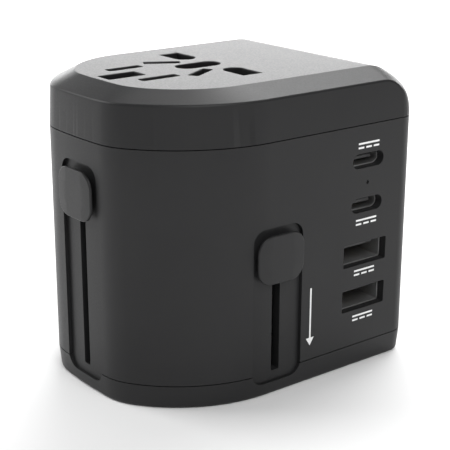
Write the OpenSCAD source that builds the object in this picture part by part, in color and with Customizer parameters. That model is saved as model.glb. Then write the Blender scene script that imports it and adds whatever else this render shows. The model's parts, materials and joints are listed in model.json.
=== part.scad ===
// Universal travel adapter: a plug-in body with a multi-standard socket on top,
// charging ports on one side, and three thumb sliders that push plug pins out of the base.
// +Z is up through the socket face, -Y is the charging-port face, -X is the front slider face.
// The origin is at the middle of the base. All sizes are in millimetres.

/* [Case] */
// Length of the case from front face to rear face
body_l = 69.1; // [68:0.1:72]
// Width of the case between its two long sides
body_w = 55.3; // [54.5:0.1:57]
// Height of the case from plug face to socket face
body_h = 65.5; // [64:0.1:68]
// Height of the joint line between base cap and shell
base_seam_z = 5.3; // [4.8:0.1:5.6]
// Height of the joint line between shell and top cap
cap_seam_z = 54.5; // [54:0.1:56]
// Width of the visible gap at each joint line
seam_gap = 0.2; // [0.1:0.05:0.3]
// Wall thickness of the case
wall = 1.8; // [1.6:0.1:2]
// Plan radius of the gently curved front face
front_r = 120; // [100:5:160]
// Plan radius of the two front corners
corner_r = 30.6; // [30:0.1:31]
// Distance from the front face to where the long sides become straight
corner_run = 27.8; // [27.5:0.1:28]
// Plan radius of the two rear corners
rear_r = 4.5; // [4:0.1:5]
// Side-view radius where the top rolls down to the rear face
rear_roll_r = 10; // [9:0.1:10.5]
// Width of the bevel round the socket face, seen from above
bevel_w = 5.8; // [5:0.1:6]
// Drop of the bevel
bevel_h = 2.3; // [2:0.1:2.6]

/* [Sliders] */
// Width of a thumb knob
knob_w = 12.1; // [11:0.1:12.4]
// Height of a thumb knob
knob_h = 10.4; // [9.6:0.1:10.8]
// Corner radius of a thumb knob
knob_r = 3.4; // [3:0.1:4.8]
// How far a knob stands out of the case
knob_proud = 1.3; // [1:0.1:1.6]
// How far a knob presses in to unlock
press = 0.6; // [0.4:0.1:0.6]
// Resting height of the front knob's middle
front_knob_z = 43; // [42:0.1:43]
// Resting height of each side knob's middle
side_knob_z = 30.4; // [30:0.1:31]
// Height of a knob's middle at the bottom of its slot
low_knob_z = 9.4; // [9.3:0.1:9.6]
// Half width of the recessed panel round each slot
panel_half_w = 6.4; // [6.3:0.1:6.5]
// Depth of the recessed panel below the case surface
panel_depth = 0.8; // [0.8:0.05:1]
// Width of the slot that a knob's stem runs in
slot_w = 2.1; // [2.05:0.05:2.2]

/* [Plug pins] */
// Live to neutral spacing of the UK pins, and their distance to the earth pin
uk_pitch = 22.2; // [22.2:0.01:22.3]
// Spacing of the round EU pins
eu_pitch = 19; // [19:0.1:19.2]
// Diameter of the round EU pins
eu_pin_d = 4.8; // [4:0.1:4.8]
// Spacing of the flat US blades
us_pitch = 13; // [12.7:0.1:13.2]
// Turn of each flat blade from the US to the Australian position
blade_turn = 30; // [28:1:30]

/* [Ports] */
// Middle of the charging ports, measured from the rear face
port_inset = 14.45; // [14.2:0.05:14.6]
// Height of the lower USB-A port's middle
usb_a_low_z = 15.95; // [15.8:0.05:16.1]
// Height of the upper USB-A port's middle
usb_a_high_z = 26.2; // [26:0.05:26.4]
// Height of the lower USB-C port's middle
usb_c_low_z = 37.1; // [37:0.05:37.3]
// Height of the upper USB-C port's middle
usb_c_high_z = 46.85; // [46.6:0.05:47]

/* [Hidden] */
$fn = 64;
eps = 0.01;
fit = 0.1;                      // play between parts that slide on each other
round_fn = 256;                 // facets of the large plan arcs

// case outline
front_x = -(body_l + knob_proud) / 2 + knob_proud;
rear_x = front_x + body_l;
side_y = body_w / 2;
corner_x = front_x + corner_run;
corner_y = corner_r - side_y;
base_taper = 0.45;              // draft of the base cap over its height
base_edge = 0.8;                // size of the soft edge round the base
cap_taper = 0.4;                // draft of the top cap up to its bevel
lip_t = 1;                      // thickness of the lips that align the three case parts
lip_h = 2;
floor_t = 2.2;                  // thickness of the base cap's floor
roof_t = 2.5;                   // thickness of the socket face

// recessed panels and tracks
wall_frame = [0, 1, 2];         // front, port side, far side
front_slot_y = -0.35;
side_slot_x = -3.65;
panel_low_z = 2.9;
panel_margin = 1.3;             // from the top of a resting knob to the top of its panel
panel_r = 2.8;
track_lap = 1.5;                // how far a track reaches behind the shell
track_t = 1;
slot_low_z = 5.15;
rib_gap = 7.2;                  // between the two guide ribs behind a track
rib_t = 1.2;
rib_d = 2.1;

// knobs and heads of the sleds
knob_face_r = 60;
knob_t = 1;
stem_w = 1.8;
stem_h = 7.6;
head_w = 6.8;
head_d = 5;
head_in = wall + 1.3;           // from the case surface to the front of a sled head
stem_end = head_in + 2;
pocket_end = stem_end + 2 * press; // room for the stem's travel and the shut spring
spring_d = 1.6;

// sleds
sled_t = 4.4;
sled_low_z = floor_t + 0.2;
sled_arm_y = side_y - wall - track_t - rib_d - 0.5; // outer edge of a side sled's arm
front_travel = front_knob_z - low_knob_z;
side_travel = side_knob_z - low_knob_z;
uk_sled_z = sled_low_z + front_travel;
side_sled_z = sled_low_z + side_travel;
sled_arm_in_y = 18.5;           // inner edge of a side sled's arm
us_bar_x = [2.2, 8];            // the bar of each side sled that carries its pins
eu_bar_x = [10, 14.8];
uk_bar = [5.8, 30.4];           // bar that carries the two UK power pins
uk_spine_w = 6;
us_boss_r = 3.6;
eu_boss_r = 3.4;

// plug pins
uk_x = -25.5;
uk_earth_x = uk_x + uk_pitch;
us_x = 5.2;
eu_x = 12.4;
uk_pin_w = 6.35;
uk_pin_t = 4;
uk_pin_out = 17.7;
uk_earth_l = 8;
uk_earth_t = 4;
uk_earth_out = 22.7;
us_blade_w = 6.35;
us_blade_t = 1.5;
us_blade_out = 17.5;
eu_pin_out = 19;
pivot_r = 1.5;
pivot_play = 0.05;
rivet_r = 2.3;                  // head that holds a flat blade in its sled
rivet_h = 1.2;
blade_eye_d = 3;
blade_eye_z = 3.2;              // above the blade's tip
pin_play = 0.5;                 // room round a pin in the plug face

// socket holes and contacts
socket_x = 0;
socket_y = 0.6;                 // middle line of all the socket holes
uk_hole_w = 4.9;
uk_hole_in_y = 8.8;             // middle of the rounded inner end of a UK hole
uk_hole_out_y = 15;
earth_hole = [8.9, 4.7];
us_slot_x = -17.4;
us_slot_y = 6.35;
us_slot_l = [9.6, 8.9];         // neutral slot, live slot
au_slot_x = -7.4;
au_slot_y = 6.9;
au_slot_l = 8.6;
flat_slot_w = 2.4;
centre_hole_x = -2.9;
centre_hole = [11.2, 5.2];      // round-ended, length by width
strip_z = 42;
strip_t = 0.6;
leaf_top_z = 58;
leaf_t = 0.5;
flat_gap = 2.3;                 // between the leaves that hold a flat blade
bus_x = -21.9;                  // outer face of the bus bars and of the strips' legs
bus_t = 0.6;
strip_in_y = 4.4;               // inner edge of the live and neutral strips
carrier_z = 40.9;
post_xy = [[-14, 15], [-14, -15], [9, 15], [9, -15]];
post_r = 2.2;
screw_boss_r = 2.7;
screw_head_room_r = 2.4;
case_screw_xy = [[30.9, 23.4], [30.9, -23.4], [-18.1, 20.9], [-18.1, -20.9]];

// ports
port_x = rear_x - port_inset;
usb_a_w = 12.5;
usb_a_h = 5.1;
usb_c_w = 8.94;
usb_c_h = 3.2;
lens_z = 41.95;
lens_d = 0.8;
divider_x = 16.2;
divider_end_y = side_y - wall - fit - lip_t - 0.3;
charger_y = -10.4;              // near edge of the divider and of the power board
board_t = 1.6;
board_x = divider_x + 1.4;
board_low_z = 8;
board_high_z = 51;
charger_x = board_x + board_t;  // face of the power board that carries the components
core_y = [6, 22];
core_z = [27, 45];
core_d = 12;
core_bar = 3;
core_leg_r = 2.2;
winding_r = 4.8;
input_can = [5, 12];            // radius, length
output_can = [3.2, 10];
output_can_y = -5;

// receptacles
port_depth = wall + 0.05;       // from the case face to the front of a receptacle
usb_a_depth = 13;
usb_c_depth = 7;
usb_c_inner = [8.34, 2.56];
shell_t = 0.3;

// fuse
fuse_xy = [-12, 15.6];
fuse_z = 8;
fuse_d = 5;
fuse_l = 20;
clip_l = 5;

shell_grey = "#39393b";
panel_grey = "#343436";
part_grey = "#4a4b4e";
brass = "#c9a24a";
nickel = "#c4c6c8";
board_green = "#1f5a3a";

// ---- shared shapes ----

// Plan outline of the case, moved in by d
module outline(d = 0) {
    translate([front_x + front_r, 0])
        intersection() {
            circle(r = front_r - d, $fn = round_fn);
            translate([-front_x - front_r, 0]) plan_body(d);
        }
}

module plan_body(d) {
    intersection() {
        translate([corner_x, corner_y]) circle(r = corner_r - d, $fn = round_fn);
        translate([corner_x, -corner_y]) circle(r = corner_r - d, $fn = round_fn);
        translate([corner_x - corner_r, -side_y]) square([corner_r, body_w]);
    }
    difference() {
        translate([corner_x, -side_y + d]) square([rear_x - d - corner_x, body_w - 2 * d]);
        for (s = [-1, 1]) rear_corner_cut(s, d);
    }
}

module rear_corner_cut(s, d) {
    r = rear_r - d;
    cut = max(r, 0.5);
    translate([rear_x - d - cut, s * (side_y - d - cut)])
        difference() {
            translate([0, s > 0 ? 0 : -cut - 1]) square([cut + 1, cut + 1]);
            circle(r = cut);
        }
}

module prism(z0, z1, d = 0) translate([0, 0, z0]) linear_extrude(z1 - z0) outline(d);

// A ring that follows the case wall between two insets
module wall_ring(z0, z1, d0, d1) {
    difference() {
        prism(z0, z1, d0);
        prism(z0 - 1, z1 + 1, d1);
    }
}

// Local frame of a slider wall: x along the wall, y up, z out of the case
module on_wall(k) {
    if (k == 0) translate([front_x, front_slot_y, 0]) rotate([90, 0, -90]) children();
    if (k == 1) translate([side_slot_x, -side_y, 0]) rotate([90, 0, 0]) children();
    if (k == 2) translate([side_slot_x, side_y, 0]) rotate([90, 0, 180]) children();
}

function knob_z(k) = k == 0 ? front_knob_z : side_knob_z;
function sled_z(k) = k == 0 ? uk_sled_z : side_sled_z;
function panel_top(k) = knob_z(k) + knob_h / 2 + panel_margin;

module rounded_rect(w, h, r) {
    difference() {
        square([w, h], center = true);
        for (sx = [-1, 1], sy = [-1, 1])
            translate([sx * (w / 2 - r), sy * (h / 2 - r)])
                difference() {
                    translate([sx > 0 ? 0 : -r - 1, sy > 0 ? 0 : -r - 1]) square(r + 1);
                    circle(r = r);
                }
    }
}

// Panel-shaped block through the wall, grown by g on every side
module panel_block(k, g, depth) {
    h = panel_top(k) - panel_low_z;
    on_wall(k)
        translate([0, panel_low_z + h / 2, -depth])
            linear_extrude(depth + 3) rounded_rect(2 * panel_half_w + 2 * g, h + 2 * g, panel_r + g);
}

module box_at(x0, y0, z0, x1, y1, z1) translate([x0, y0, z0]) cube([x1 - x0, y1 - y0, z1 - z0]);

// ---- case ----

module cap_outside() {
    intersection() {
        cap_hull();
        box_at(front_x - 1, -side_y - 1, cap_seam_z + seam_gap, rear_x + 1, side_y + 1, body_h + 1);
    }
}

module cap_hull() {
    roll_x = rear_x - rear_roll_r;
    roll_z = body_h - rear_roll_r;
    edge_r = rear_roll_r - bevel_h;
    hull() {
        prism(cap_seam_z, cap_seam_z + seam_gap);
        intersection() {
            prism(body_h - bevel_h - eps, body_h - bevel_h, cap_taper);
            box_at(front_x - 1, -side_y, 0, roll_x, side_y, body_h);
        }
        intersection() {
            prism(body_h - eps, body_h, bevel_w);
            box_at(front_x - 1, -side_y, 0, roll_x, side_y, body_h);
        }
        translate([roll_x, 0, roll_z]) rotate([90, 0, 0]) {
            cylinder(r = rear_roll_r, h = body_w - 2 * bevel_w, center = true, $fn = 96);
            cylinder(r = edge_r, h = body_w - 2 * cap_taper, center = true, $fn = 96);
        }
    }
}

// Socket holes, cut from z0 upwards
module socket_holes(z0) {
    h = body_h - z0 + 1;
    translate([0, socket_y, z0]) linear_extrude(h) {
        for (s = [-1, 1]) {
            translate([socket_x, s * (uk_hole_in_y + uk_hole_out_y) / 2])
                square([uk_hole_w, uk_hole_out_y - uk_hole_in_y], center = true);
            translate([socket_x, s * uk_hole_in_y]) circle(d = uk_hole_w);
            translate([us_slot_x, s * us_slot_y])
                square([us_slot_l[s > 0 ? 1 : 0], flat_slot_w], center = true);
            translate([au_slot_x, s * au_slot_y]) rotate(-s * blade_turn)
                square([au_slot_l, flat_slot_w], center = true);
        }
        translate([uk_earth_socket_x(), 0]) square(earth_hole, center = true);
        end_x = (centre_hole[0] - centre_hole[1]) / 2;
        for (s = [-1, 1]) translate([centre_hole_x + s * end_x, 0]) circle(d = centre_hole[1]);
        translate([centre_hole_x, 0]) square([2 * end_x, centre_hole[1]], center = true);
    }
}

function uk_earth_socket_x() = socket_x - uk_pitch;

module top_cap() {
    under_z = body_h - roof_t;
    color(shell_grey)
        difference() {
            union() {
                difference() {
                    cap_outside();
                    intersection() {
                        prism(cap_seam_z - 1, under_z, wall + 0.4);
                        box_at(front_x, -side_y, 0, rear_x - rear_roll_r + 4, side_y, under_z);
                    }
                    prism(cap_seam_z - 1, cap_seam_z + 2.2, wall + 0.4);
                }
                difference() {
                    prism(cap_seam_z - lip_h, cap_seam_z + 1.5, wall + fit);
                    prism(cap_seam_z - lip_h - 1, cap_seam_z + 3, wall + fit + lip_t);
                }
                for (p = post_xy) translate([p[0], p[1], strip_z + fit])
                    cylinder(r = post_r, h = under_z - strip_z);
            }
            socket_holes(under_z - 1);
            for (p = post_xy) translate([p[0], p[1], strip_z]) cylinder(r = 0.8, h = 9);
        }
}

module usb_openings(from_y) {
    for (z = [usb_a_low_z, usb_a_high_z])
        box_at(port_x - usb_a_w / 2, from_y, z - usb_a_h / 2,
               port_x + usb_a_w / 2, -side_y + wall + 1, z + usb_a_h / 2);
    for (z = [usb_c_low_z, usb_c_high_z])
        translate([port_x, -side_y + wall + 1, z]) rotate([90, 0, 0])
            linear_extrude(wall + 3) rounded_rect(usb_c_w, usb_c_h, usb_c_h / 2 - 0.02);
    translate([port_x, -side_y + wall + 1, lens_z]) rotate([90, 0, 0])
        cylinder(d = lens_d, h = wall + 3, $fn = 24);
}

module body_shell() {
    z0 = base_seam_z;
    z1 = cap_seam_z;
    color(shell_grey)
        difference() {
            union() {
                wall_ring(z0, z1, 0, wall);
                for (p = case_screw_xy) translate([p[0], p[1], z0 + lip_h + 0.5])
                    cylinder(r = screw_boss_r, h = 16);
            }
            for (k = wall_frame) panel_block(k, 0, wall + 1);
            usb_openings(-side_y - 2);
            for (p = case_screw_xy) translate([p[0], p[1], 0]) cylinder(r = 1, h = 22);
        }
}

module base_outside() {
    hull() {
        prism(0, eps, base_taper + base_edge);
        prism(base_edge, base_edge + eps, base_taper);
        prism(base_seam_z - seam_gap - eps, base_seam_z - seam_gap);
    }
}

// Hole in the base for a flat blade that turns by blade_turn
module blade_hole(s) {
    half = (us_blade_w + pin_play) / 2;
    translate([us_x, s * us_pitch / 2, -1])
        linear_extrude(floor_t + 2)
            intersection() {
                circle(r = half);
                union() for (a = [0, blade_turn / 2, blade_turn])
                    rotate(-s * a)
                        square([2 * half + 1, us_blade_t + pin_play + (a == blade_turn / 2 ? 0.6 : 0)],
                               center = true);
            }
}

module base_cap() {
    color(shell_grey)
        difference() {
            union() {
                difference() {
                    base_outside();
                    prism(floor_t, base_seam_z + 1, wall + 0.6);
                }
                wall_ring(floor_t - 0.5, base_seam_z + lip_h, wall + fit, wall + fit + lip_t);
                intersection() {
                    prism(floor_t - 0.5, base_seam_z + lip_h, wall + fit);
                    for (p = case_screw_xy) translate([p[0], p[1], floor_t - 0.5])
                        cylinder(r = screw_boss_r, h = base_seam_z + lip_h);
                }
            }
            for (k = wall_frame) {
                panel_block(k, 0, wall + 1);
                intersection() {
                    panel_block(k, track_lap + 0.2, head_in + 4);
                    prism(floor_t, 60, wall);
                }
            }
            for (s = [-1, 1]) {
                translate([uk_x, s * uk_pitch / 2, 0])
                    cube([uk_pin_t + pin_play, uk_pin_w + pin_play, 20], center = true);
                translate([eu_x, s * eu_pitch / 2, -1]) cylinder(d = eu_pin_d + pin_play, h = 10);
                blade_hole(s);
            }
            translate([uk_earth_x, 0, 0])
                cube([uk_earth_l + pin_play, uk_earth_t + pin_play, 20], center = true);
            for (p = case_screw_xy) translate([p[0], p[1], -1]) {
                cylinder(r = 1.2, h = 20);
                cylinder(r = screw_head_room_r, h = 3.5);
            }
        }
}

// ---- slider tracks, knobs and springs ----

module track(k) {
    top = panel_top(k);
    slot_top = knob_z(k) + stem_h / 2 + 0.3;
    color(panel_grey)
        difference() {
            union() {
                intersection() {
                    wall_ring(0, 60, panel_depth, wall + 0.3);
                    panel_block(k, -0.06, 6);
                }
                intersection() {
                    wall_ring(floor_t + 0.2, 60, wall + fit, wall + fit + track_t);
                    panel_block(k, track_lap, 8);
                }
                on_wall(k) for (s = [-1, 1])
                    translate([s > 0 ? rib_gap / 2 : -rib_gap / 2 - rib_t, floor_t + 0.3,
                               -wall - track_t - rib_d])
                        cube([rib_t, top - floor_t, rib_d]);
            }
            on_wall(k) translate([-slot_w / 2, slot_low_z, -9])
                cube([slot_w, slot_top - slot_low_z, 20]);
        }
}
module front_track() track(0);
module port_side_track() track(1);
module far_side_track() track(2);

module knob(k) {
    color(part_grey)
        on_wall(k) translate([0, knob_z(k), 0]) {
            intersection() {
                translate([0, 0, -1]) linear_extrude(knob_proud + 1.2)
                    rounded_rect(knob_w, knob_h, knob_r);
                translate([0, 0, knob_proud - knob_face_r]) rotate([90, 0, 0])
                    difference() {
                        cylinder(r = knob_face_r, h = knob_h + 2, center = true, $fn = round_fn);
                        cylinder(r = knob_face_r - knob_t, h = knob_h + 4, center = true,
                                 $fn = round_fn);
                    }
            }
            translate([-stem_w / 2, -stem_h / 2, -stem_end])
                cube([stem_w, stem_h, stem_end + knob_proud - knob_t / 2]);
        }
}
module front_knob() knob(0);
module port_side_knob() knob(1);
module far_side_knob() knob(2);

module release_spring(k) {
    color(nickel)
        on_wall(k) translate([0, knob_z(k), -pocket_end])
            difference() {
                cylinder(d = spring_d, h = pocket_end - stem_end, $fn = 32);
                translate([0, 0, -1]) cylinder(d = spring_d - 0.6, h = 5, $fn = 32);
            }
}
module front_release_spring() release_spring(0);
module port_side_release_spring() release_spring(1);
module far_side_release_spring() release_spring(2);

// ---- sleds ----

// The part of a sled that runs between the ribs behind a track
module sled_head(k) {
    z0 = sled_z(k);
    z1 = knob_z(k) + stem_h / 2 + 1.4;
    on_wall(k)
        translate([-head_w / 2, z0, -head_in - head_d]) cube([head_w, z1 - z0, head_d]);
}

// Pocket in a sled for the knob's stem and its release spring
module knob_pocket(k) {
    on_wall(k)
        translate([-stem_w / 2 - fit, knob_z(k) - stem_h / 2 - fit, -pocket_end])
            cube([stem_w + 2 * fit, stem_h + 2 * fit, 10]);
}

module slab(x0, y0, x1, y1, z) box_at(x0, y0, z, x1, y1, z + sled_t);

module uk_sled() {
    z = uk_sled_z;
    head_end_x = front_x + head_in + head_d;
    color(part_grey)
        difference() {
            union() {
                sled_head(0);
                intersection() {
                    slab(uk_x - uk_bar[0] / 2, -uk_bar[1] / 2, uk_x + uk_bar[0] / 2, uk_bar[1] / 2, z);
                    prism(z, z + sled_t, wall + fit + lip_t + 0.3);
                }
                slab(uk_x, -uk_spine_w / 2, uk_earth_x + uk_earth_l / 2 + 0.9, uk_spine_w / 2, z);
                slab(head_end_x - 1, front_slot_y - head_w / 2, uk_x, front_slot_y + head_w / 2, z);
            }
            knob_pocket(0);
            uk_pin_seats(z);
        }
}

module uk_pin_seats(z) {
    for (s = [-1, 1]) translate([uk_x, s * uk_pitch / 2, z])
        cube([uk_pin_t, uk_pin_w, 6], center = true);
    translate([uk_earth_x, 0, z]) cube([uk_earth_l, uk_earth_t, 6], center = true);
}

module us_sled() {
    z = side_sled_z;
    color(part_grey)
        difference() {
            union() {
                sled_head(1);
                slab(side_slot_x - head_w / 2, -sled_arm_y, us_bar_x[1], -sled_arm_in_y, z);
                slab(us_bar_x[0], -sled_arm_y, us_bar_x[1], us_pitch / 2, z);
                for (s = [-1, 1]) translate([us_x, s * us_pitch / 2, z])
                    cylinder(r = us_boss_r, h = sled_t);
            }
            knob_pocket(1);
            for (s = [-1, 1]) translate([us_x, s * us_pitch / 2, z - 1])
                cylinder(r = pivot_r + pivot_play, h = sled_t + 2);
        }
}

module eu_sled() {
    z = side_sled_z;
    color(part_grey)
        difference() {
            union() {
                sled_head(2);
                slab(side_slot_x - head_w / 2, sled_arm_in_y, eu_bar_x[1], sled_arm_y, z);
                slab(eu_bar_x[0], -eu_pitch / 2, eu_bar_x[1], sled_arm_y, z);
                for (s = [-1, 1]) translate([eu_x, s * eu_pitch / 2, z])
                    cylinder(r = eu_boss_r, h = sled_t);
            }
            knob_pocket(2);
            for (s = [-1, 1]) translate([eu_x, s * eu_pitch / 2, z - 1])
                cylinder(d = eu_pin_d, h = 4);
        }
}

// ---- plug pins ----

// A flat pin with its tip at z = 0, chamfered on all four sides
module flat_pin(lx, ly, len, tip) {
    intersection() {
        rotate([90, 0, 0]) linear_extrude(ly, center = true) tip_profile(lx, len, tip);
        rotate([90, 0, 90]) linear_extrude(lx, center = true) tip_profile(ly, len, tip);
    }
}

module tip_profile(w, len, tip) {
    polygon([[-w / 2 + tip, 0], [w / 2 - tip, 0], [w / 2, 2 * tip], [w / 2, len],
             [-w / 2, len], [-w / 2, 2 * tip]]);
}

module uk_power_pin(s) {
    tip_z = front_travel - uk_pin_out;
    color(brass)
        translate([uk_x, s * uk_pitch / 2, tip_z])
            flat_pin(uk_pin_t, uk_pin_w, uk_sled_z + 3 - tip_z, 0.6);
}
module uk_live_pin() uk_power_pin(1);
module uk_neutral_pin() uk_power_pin(-1);

module uk_earth_pin() {
    tip_z = front_travel - uk_earth_out;
    color(panel_grey)
        translate([uk_earth_x, 0, tip_z])
            flat_pin(uk_earth_l, uk_earth_t, uk_sled_z + 3 - tip_z, 0.8);
}

module us_blade(s) {
    tip_z = side_travel - us_blade_out;
    root_z = side_sled_z - fit;
    top_z = side_sled_z + sled_t;
    color(nickel)
        translate([us_x, s * us_pitch / 2, 0]) {
            difference() {
                translate([0, 0, tip_z]) flat_pin(us_blade_w, us_blade_t, root_z - tip_z, 0.4);
                translate([0, 0, tip_z + blade_eye_z]) rotate([90, 0, 0])
                    cylinder(d = blade_eye_d, h = 10, center = true);
            }
            translate([0, 0, root_z]) cylinder(r = pivot_r, h = top_z + fit + rivet_h - root_z);
            translate([0, 0, top_z + fit]) cylinder(r = rivet_r, h = rivet_h);
        }
}
module us_live_blade() us_blade(1);
module us_neutral_blade() us_blade(-1);

module eu_pin(s) {
    tip_z = side_travel - eu_pin_out;
    r = eu_pin_d / 2;
    color(nickel)
        translate([eu_x, s * eu_pitch / 2, tip_z]) {
            translate([0, 0, r]) cylinder(r = r, h = side_sled_z + 3 - tip_z - r);
            translate([0, 0, r]) sphere(r = r);
        }
}
module eu_live_pin() eu_pin(1);
module eu_neutral_pin() eu_pin(-1);

// ---- socket contacts ----

module contact_carrier() {
    color("#d8d2c2")
        difference() {
            box_at(-21, -18, carrier_z, 12.5, 18, strip_z);
            for (p = post_xy) translate([p[0], p[1], 0]) cylinder(r = 1.1, h = 60);
        }
}

// Two upright leaves either side of a pin hole, rotated by a
module leaf_pair(x, y, a, len, gap) {
    translate([x, y, strip_z + strip_t - 0.1]) rotate(a)
        for (s = [-1, 1]) translate([-len / 2, s > 0 ? gap / 2 : -gap / 2 - leaf_t, 0])
            cube([len, leaf_t, leaf_top_z - strip_z]);
}

// Flat piece of a power strip, from its inner edge outwards
module strip_piece(s, x, l, w) translate([x, s > 0 ? strip_in_y : -strip_in_y - w]) square([l, w]);

module power_contact(s) {
    color(brass) translate([0, socket_y, 0]) {
        translate([0, 0, strip_z]) linear_extrude(strip_t) {
            strip_piece(s, bus_x, 25.3, 4.2);
            strip_piece(s, -2.8, 6.2, 10.8);
            strip_piece(s, bus_x, 0.8, 9.6);
            strip_piece(s, -12, 9.5, 6);
        }
        leaf_pair(socket_x, s * uk_pitch / 2, 90, 8, 4.5);
        leaf_pair(us_slot_x, s * us_slot_y, 0, 8, flat_gap);
        leaf_pair(au_slot_x, s * au_slot_y, -s * blade_turn, 6.6, flat_gap);
    }
}
module live_contact() power_contact(1);
module neutral_contact() power_contact(-1);

// Upright bar that the UK pin's root slides against, under the contact strip
module bus_bar(s) {
    color(brass)
        box_at(bus_x, s > 0 ? 8.4 : -14, 6, bus_x + bus_t, s > 0 ? 14 : -8.4, strip_z);
}
module live_bus_bar() bus_bar(1);
module neutral_bus_bar() bus_bar(-1);

module earth_contact() {
    color(brass) translate([0, socket_y, 0]) {
        box_at(-25.4, -3.1, strip_z, 2.4, 3.1, strip_z + strip_t);
        leaf_pair(uk_earth_socket_x(), 0, 0, 7, 4.7);
        leaf_pair(centre_hole_x, 0, 0, 8.4, 5);
    }
}

// ---- charger ----

module divider_wall() {
    color("#d8d2c2") {
        box_at(divider_x, charger_y, floor_t + 0.1, divider_x + 1.1, divider_end_y, 50);
        box_at(divider_x, 20, floor_t + 0.1, divider_x + 3, divider_end_y, 6);
    }
}

module power_board() {
    color(board_green)
        box_at(board_x, charger_y, board_low_z, charger_x, side_y - wall - 0.6, board_high_z);
}

module usb_board() {
    y0 = -side_y + wall + 13.2;
    color(board_green) box_at(board_x, y0, 9, 33, y0 + board_t, 51);
}

module transformer_core() {
    x0 = charger_x + 0.6;
    color("#2c2c2e")
        difference() {
            box_at(x0, core_y[0], core_z[0], x0 + core_d, core_y[1], core_z[1]);
            difference() {
                box_at(x0 - 1, core_y[0] + core_bar, core_z[0] + core_bar,
                       x0 + core_d + 1, core_y[1] - core_bar, core_z[1] - core_bar);
                core_middle(core_z[0]) cylinder(r = core_leg_r, h = core_z[1] - core_z[0]);
            }
        }
}

module core_middle(z)
    translate([charger_x + 0.6 + core_d / 2, (core_y[0] + core_y[1]) / 2, z]) children();

module transformer_winding() {
    z0 = core_z[0] + core_bar + fit;
    color("#c8932b")
        core_middle(z0) difference() {
            cylinder(r = winding_r, h = core_z[1] - core_bar - fit - z0);
            translate([0, 0, -1]) cylinder(r = core_leg_r + 0.05, h = core_z[1] - core_z[0]);
        }
}

// A capacitor lying out from the power board; size is its radius and length
module can(y, z, size)
    translate([charger_x, y, z]) rotate([0, 90, 0]) cylinder(r = size[0], h = size[1]);

module input_capacitors() {
    color("#23262c") for (yz = [[14, 15], [-4, 45.8]]) can(yz[0], yz[1], input_can);
}

module output_capacitors() {
    color("#4b4f57") for (z = [14, 24, 34]) can(output_can_y, z, output_can);
}

// Metal shell of a receptacle, open at the front, from the case wall inwards
module port_shell(z, w, h, r, depth) {
    t = shell_t;
    color(nickel)
        translate([port_x, -side_y + port_depth + depth, z]) rotate([90, 0, 0])
            difference() {
                linear_extrude(depth) rounded_rect(w + 2 * t, h + 2 * t, r + t);
                translate([0, 0, t]) linear_extrude(depth) rounded_rect(w, h, r);
            }
}
module usb_a_shell(z) port_shell(z, usb_a_w - 0.5, usb_a_h - 0.5, 0.3, usb_a_depth);
module usb_c_shell(z) port_shell(z, usb_c_inner[0], usb_c_inner[1], 1.2, usb_c_depth);
module upper_usb_a_shell() usb_a_shell(usb_a_high_z);
module lower_usb_a_shell() usb_a_shell(usb_a_low_z);
module upper_usb_c_shell() usb_c_shell(usb_c_high_z);
module lower_usb_c_shell() usb_c_shell(usb_c_low_z);

module usb_a_tongues() {
    y0 = -side_y + wall + 2;
    back = -side_y + wall + 12.75;
    color("#1c1c1e") for (z = [usb_a_low_z, usb_a_high_z]) {
        box_at(port_x - 5.6, y0, z + 0.35, port_x + 5.6, back, z + 2.15);
        box_at(port_x - 5.8, back - 3, z - 2.15, port_x + 5.8, back, z + 2.15);
    }
}

module usb_c_tongues() {
    y0 = -side_y + wall + 1;
    back = -side_y + wall + 6.7;
    color("#1c1c1e") for (z = [usb_c_low_z, usb_c_high_z]) {
        box_at(port_x - 3.3, y0, z - 0.35, port_x + 3.3, back, z + 0.35);
        box_at(port_x - 3, back - 1.2, z - 1.1, port_x + 3, back, z + 1.1);
    }
}

module status_lens() {
    color("white") translate([port_x, -side_y + wall + 2, lens_z]) rotate([90, 0, 0]) {
        cylinder(d = lens_d - 0.06, h = wall + 1.8, $fn = 24);
        cylinder(d = 2, h = 1.9, $fn = 24);
    }
}

module fuse() {
    color("#e8e4da") translate([fuse_xy[0], fuse_xy[1], fuse_z]) cylinder(d = fuse_d, h = fuse_l);
}

module fuse_clips() {
    color(brass) {
        for (z = [fuse_z, fuse_z + fuse_l - clip_l]) translate([fuse_xy[0], fuse_xy[1], z])
            difference() {
                cylinder(d = fuse_d + 1.2, h = clip_l);
                translate([0, 0, -1]) cylinder(d = fuse_d + 0.04, h = clip_l + 2);
                translate([-1.5, -6, -1]) cube([3, 5, 7]);
            }
        box_at(-21.25, 13, 24, -14.1, 13.6, 27);
    }
}

module screw(x, y, head_z, head_r, shank_r, len, up) {
    translate([x, y, head_z]) {
        cylinder(r = head_r, h = 1.2);
        translate([0, 0, up ? 1 : 0]) cylinder(r = shank_r, h = len);
    }
}

module case_screws() {
    color(nickel) for (p = case_screw_xy)
        difference() {
            screw(p[0], p[1], 1.2, 2.2, 0.98, 18, true);
            translate([p[0], p[1], 1]) {
                cube([2.6, 0.6, 1.2], center = true);
                cube([0.6, 2.6, 1.2], center = true);
            }
        }
}

module carrier_screws() {
    color(nickel) for (p = post_xy)
        screw(p[0], p[1], carrier_z - 1.2, 1.9, 0.78, 8, true);
}

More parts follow.
